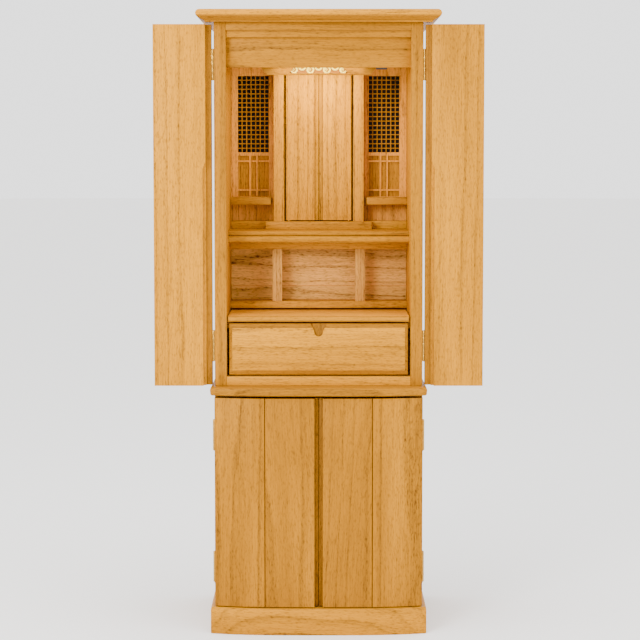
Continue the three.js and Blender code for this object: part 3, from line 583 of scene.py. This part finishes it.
# Shelf boards, plinth and low steps: the sanctuary's floor and what stands on it, with a
# side shelf on each hand. Solid ash boards with round or eased front edges.
for node, depth in (("shelf_lower", 0.6), ("shelf_upper", 1.0)):
    ash(board(node, 0.3, 1), "x", pith=(60, 60), lean=(0.2, 0.3), ring=7, rich=depth)
ash(board("shrine_plinth", 1.0), "x", pith=(20, 90), rich=0.6)
for hand in HANDS:
    ash(board(f"low_step_{hand}", 1.0), "x", pith=(20, 90), rich=0.1)
    ash(board(f"side_shelf_{hand}", 1.0), "x", pith=(20, 90), rich=0.8)

# Shrine: a post and a side wall of ash on each hand and two doors, each with a groove beside
# its meeting stile: the groove's floor is deeper in tone, and dark lines of painted shade run
# along its edges. The doors turn on brass pins, one let into the plinth and one into the
# ceiling over each door.
STILE_HALF = 8.2 * MM
GROOVE_MIDDLE = 8.6 * MM
GROOVE_HALF = 0.6 * MM
for hand, sign in HANDS.items():
    ash(board(f"shrine_side_{hand}"), "z", pith=(70 * sign, 20), lean=(0.3, 0.2), ring=7, rich=0.2)
    shrine_door = board(f"shrine_door_{hand}", 0.5)
    ash(shrine_door, "z", pith=(70 * sign, 40), lean=(0.3, 0.4), ring=12, rich=0.05)
    ash(shrine_door, "z", ring=8, rich=0.3, where=lambda c: abs(c.x) < STILE_HALF)
    # Painted shade: dark lines along the groove's edges.
    ash(shrine_door, "z", ring=8, rich=1.0, stain_and_shade=0.5,
        where=lambda c: abs(abs(c.x) - GROOVE_MIDDLE) < GROOVE_HALF)

# Drawn brass is a warm yellow metal with fine lines along its length, worn brighter here
# and duller there. The lines are drawn 1.1 mm apart, which is coarser than real.
BRASS_LINES_PER_MM = (0.9, 0.9, 0.12)
brass, brass_tree, brass_shader = finish("drawn brass, worn bright", "#b98a34", 0.3, 1.0)
brass_wear = add(brass_tree, "ShaderNodeTexCoord", out="Object")
brass_wear = add(brass_tree, "ShaderNodeMapping", {"Vector": brass_wear,
                 "Scale": [lines / MM for lines in BRASS_LINES_PER_MM]})
brass_wear = add(brass_tree, "ShaderNodeTexNoise", {"Vector": brass_wear, "Scale": 1.0, "Detail": 3.0})
brass_gloss = add(brass_tree, "ShaderNodeMath", {0: brass_wear, 1: 0.35, 2: 0.14},
                  operation="MULTIPLY_ADD")
brass_tree.links.new(brass_gloss, brass_shader.inputs["Roughness"])
brass_colour = add(brass_tree, "ShaderNodeMix", {"Factor": brass_wear, 6: linear("#c99d48"),
                   7: linear("#8c6424")}, out=2, data_type="RGBA")
brass_tree.links.new(brass_colour, brass_shader.inputs["Base Color"])
brass_bump = add(brass_tree, "ShaderNodeBump", {"Height": brass_wear, "Strength": 0.15,
                 "Distance": 0.05 * MM})
brass_tree.links.new(brass_bump, brass_shader.inputs["Normal"])

SHRINE_PIN_OUT = 65 * MM
SHRINE_PIN_BACK = FRONT + 198 * MM
SHRINE_PIN_RADIUS = 3 * MM
SHRINE_PIN_PLAY = 0.3 * MM
PLINTH_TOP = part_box("shrine_plinth")[1].z
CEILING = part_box("ceiling_board")[0].z
SHRINE_DOOR_LOW, SHRINE_DOOR_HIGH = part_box("shrine_door_left")
for level, low, high in (("low", PLINTH_TOP, SHRINE_DOOR_LOW.z), ("high", SHRINE_DOOR_HIGH.z, CEILING)):
    bpy.ops.object.select_all(action="DESELECT")
    bpy.ops.mesh.primitive_cylinder_add(vertices=24, radius=SHRINE_PIN_RADIUS,
                                        depth=high - low - SHRINE_PIN_PLAY)
    turned_pin = bpy.context.object
    collar = turned_pin.modifiers.new("turned edge", "BEVEL")
    collar.width = 0.4 * MM
    collar.segments = 2
    bpy.ops.object.modifier_apply(modifier=collar.name)
    bpy.ops.object.shade_smooth_by_angle(angle=math.radians(35))
    turned_pin.data.materials.append(brass)
    pin_pattern = as_pattern(turned_pin)
    for hand, sign in HANDS.items():
        pin_place = (sign * SHRINE_PIN_OUT, SHRINE_PIN_BACK, (low + high) / 2)
        pin = copy_of(pin_pattern, f"shrine_pin_{level}_{hand}", pin_place)
        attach(pin, "cabinet")

# Screens: a lattice of thin crossed bars, darker on their faces and with painted shade on
# the walls between them, in front of a board brushed with matt black paint, which stands in
# for the unlit dark behind the lattice as painted shade. Below it lies a recessed field
# behind four crossing bars, darkened as painted shade. Posts, bars and field are ash.
LATTICE_FACE = FRONT + 241.5 * MM
LATTICE_SIDES = FRONT + 242.6 * MM
LATTICE_BOTTOM = 1004 * MM
FIELD_FACE = FRONT + 243 * MM
FIELD_BOTTOM = 905 * MM
BRUSH_MARK = 2.5 * MM
lattice_shade_black, black_tree, black_shader = finish("brushed matt black paint", "#0d0b0a", 0.9)
brushed = add(black_tree, "ShaderNodeTexNoise", {"Vector": add(black_tree, "ShaderNodeTexCoord",
              out="Object"), "Scale": 1 / BRUSH_MARK, "Detail": 2.0})
black_bump = add(black_tree, "ShaderNodeBump", {"Height": brushed, "Strength": 0.2,
                 "Distance": 0.1 * MM})
black_tree.links.new(black_bump, black_shader.inputs["Normal"])
for hand in HANDS:
    screen = board(f"screen_{hand}", 0.25, 1)
    ash(screen, "z", pith=(40, 60), ring=8, rich=0.1, pale="#dd9030")
    # Painted shade: the recessed field behind the bars is darkened.
    ash(screen, "z", pith=(50, 30), ring=6, rich=0.7, stain_and_shade=0.1,
        where=lambda c: c.y > FIELD_FACE and FIELD_BOTTOM < c.z < LATTICE_BOTTOM)
    ash(screen, "z", ring=6, rich=0.8, stain_and_shade=0.15,
        where=lambda c: c.y > LATTICE_FACE and c.z > LATTICE_BOTTOM)
    # Painted shade: the walls between the lattice bars are darkened almost to black.
    ash(screen, "z", ring=6, rich=1.0, stain_and_shade=0.9,
        where=lambda c: c.y > LATTICE_SIDES and c.z > LATTICE_BOTTOM)
    # Painted shade: the black backing stands in for the unlit dark behind the lattice.
    board(f"screen_backing_{hand}").data.materials.append(lattice_shade_black)

# Folding doors: an outer and an inner leaf on each side, each one solid ash board with
# upright grain and a rebated edge at the fold, the inner with a finger pull cut into
# its meeting edge. The outer leaves are given deeper wood as painted shade, for the shade
# of the inner leaves on them. Open, they lie folded beside the case.
for hand, sign in HANDS.items():
    # Painted shade: the outer leaf's deep wood stands for the shade the inner leaf throws on it.
    ash(board(f"outer_leaf_{hand}", 1.0), "z", pith=(50, 80), lean=(0.3, 0.2), ring=10, rich=0.95)
    ash(board(f"inner_leaf_{hand}", 1.0), "z", pith=(-40 * sign, 85), lean=(0.4, 0.3), ring=14,
        rich=0.05 if sign < 0 else 0.3, mark=0.8)

# Hinges: butt hinges of drawn brass, each half a plate with its share of the five rolled
# knuckles and three screws with cross recesses, turning on one pin. A left hinge is a
# right one turned upside down, so each half is modelled once and copied to its places.
KNUCKLE_COUNT = 5
KNUCKLE_GAP = 0.25 * MM
KNUCKLE_RADIUS = 2.15 * MM
HINGE_PIN_RADIUS = 1.5 * MM
HINGE_PIN_PROUD = 0.8 * MM
FILED_EDGE = 0.3 * MM
SCREW_RADIUS = 2.3 * MM
SCREW_THICKNESS = 0.6 * MM
SCREW_PROUD = 0.05 * MM
SCREW_ACROSS = 0.58
SCREW_LEVELS = (-0.36, 0, 0.36)
RECESS_SIZE = (0.6 * MM, 2.8 * MM, 0.7 * MM)

bpy.ops.object.select_all(action="DESELECT")
bpy.ops.mesh.primitive_cylinder_add(vertices=20, radius=SCREW_RADIUS, depth=SCREW_THICKNESS)
screw_head = bpy.context.object
for turned in (0, 90):
    bpy.ops.object.select_all(action="DESELECT")
    bpy.ops.mesh.primitive_cube_add(size=1, location=(0, 0, SCREW_THICKNESS / 2),
                                    rotation=(0, 0, math.radians(turned)))
    recess = bpy.context.object
    recess.scale = RECESS_SIZE
    only(screw_head)
    cross = screw_head.modifiers.new("cross recess", "BOOLEAN")
    cross.object = recess
    bpy.ops.object.modifier_apply(modifier=cross.name)
    bpy.data.objects.remove(recess)
screw_pattern = as_pattern(screw_head)


def hinge_half(length, with_pin, plate_x, plate_y, facing):
    """Half a right-hand butt hinge about the middle of its pin: every other knuckle, a
    plate between two x and two y places, and screws on the side that faces -1 or 1 in x."""
    share = length / KNUCKLE_COUNT
    parts = []
    for turn in range(0 if with_pin else 1, KNUCKLE_COUNT, 2):
        bpy.ops.mesh.primitive_cylinder_add(vertices=24, radius=KNUCKLE_RADIUS, depth=share - KNUCKLE_GAP,
                                            location=(0, 0, share * (turn + 0.5) - length / 2))
        parts.append(bpy.context.object)
    if with_pin:
        bpy.ops.mesh.primitive_cylinder_add(vertices=20, radius=HINGE_PIN_RADIUS,
                                            depth=length + 2 * HINGE_PIN_PROUD)
        parts.append(bpy.context.object)
    bpy.ops.mesh.primitive_cube_add(size=1, location=(sum(plate_x) / 2, sum(plate_y) / 2, 0))
    plate = bpy.context.object
    plate.scale = (plate_x[1] - plate_x[0], abs(plate_y[1] - plate_y[0]), length)
    half = joined([*parts, plate])
    edge = half.modifiers.new("filed edges", "BEVEL")
    edge.width = FILED_EDGE
    edge.segments = 2
    bpy.ops.object.modifier_apply(modifier=edge.name)
    screw_x = (plate_x[1] if facing > 0 else plate_x[0]) + facing * SCREW_PROUD
    screw_y = plate_y[0] + (plate_y[1] - plate_y[0]) * SCREW_ACROSS
    screws = [copy_of(screw_pattern, "screw", (screw_x, screw_y, length * level),
                      (0, math.radians(90 * facing), 0)) for level in SCREW_LEVELS]
    half = joined([half, *screws])
    bpy.ops.object.shade_smooth_by_angle(angle=math.radians(35))
    half.data.materials.clear()
    half.data.materials.append(brass)
    return as_pattern(half)


HINGE_OUT = 219.25 * MM
FOLD_OUT = 336 * MM
CASE_PLATE = (-2.1 * MM, -0.9 * MM)
LEAF_PLATE = (1.45 * MM, 2.65 * MM)
FOLD_PLATE = (-2.75 * MM, -1.6 * MM)

# For each hinge: how far out its pin is and how far forward, and for each half its body,
# its plate in x and in y from the pin, and the way in x that its screws face.
HINGES = {
    "upper_hinge": (HINGE_OUT, FRONT, {
        "fixed": ("cabinet", CASE_PLATE, (0, 16 * MM), 1),
        "moving": ("{hand}_outer_leaf", LEAF_PLATE, (0, 16 * MM), -1)}),
    "lower_hinge": (HINGE_OUT, LOWER_FRONT, {
        "fixed": ("cabinet", CASE_PLATE, (0.2 * MM, 16 * MM), 1),
        "moving": ("{hand}_lower_door", CASE_PLATE, (-0.7 * MM, -15 * MM), 1)}),
    "fold_hinge": (FOLD_OUT, FRONT, {
        "fixed": ("{hand}_outer_leaf", FOLD_PLATE, (0.2 * MM, 9.2 * MM), 1),
        "moving": ("{hand}_inner_leaf", FOLD_PLATE, (-0.2 * MM, -9.2 * MM), 1)}),
}
for hinge, (pin_out, pin_front, halves) in HINGES.items():
    hinge_low, hinge_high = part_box(f"{hinge}_top_left")
    for half_name, (body, plate_x, plate_y, facing) in halves.items():
        pattern = hinge_half(hinge_high.z - hinge_low.z, half_name == "fixed", plate_x, plate_y, facing)
        for level in ("top", "bottom"):
            for hand, sign in HANDS.items():
                node = f"{hinge}_{level}_{hand}"
                pin_middle = (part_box(node)[0].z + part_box(node)[1].z) / 2
                upside_down = (0, math.radians(180 if sign < 0 else 0), 0)
                half_hinge = copy_of(pattern, f"{node}_{half_name}", (sign * pin_out, pin_front, pin_middle),
                                     upside_down)
                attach(half_hinge, body.format(hand=hand))
                if half_name == "fixed":
                    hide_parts(node)
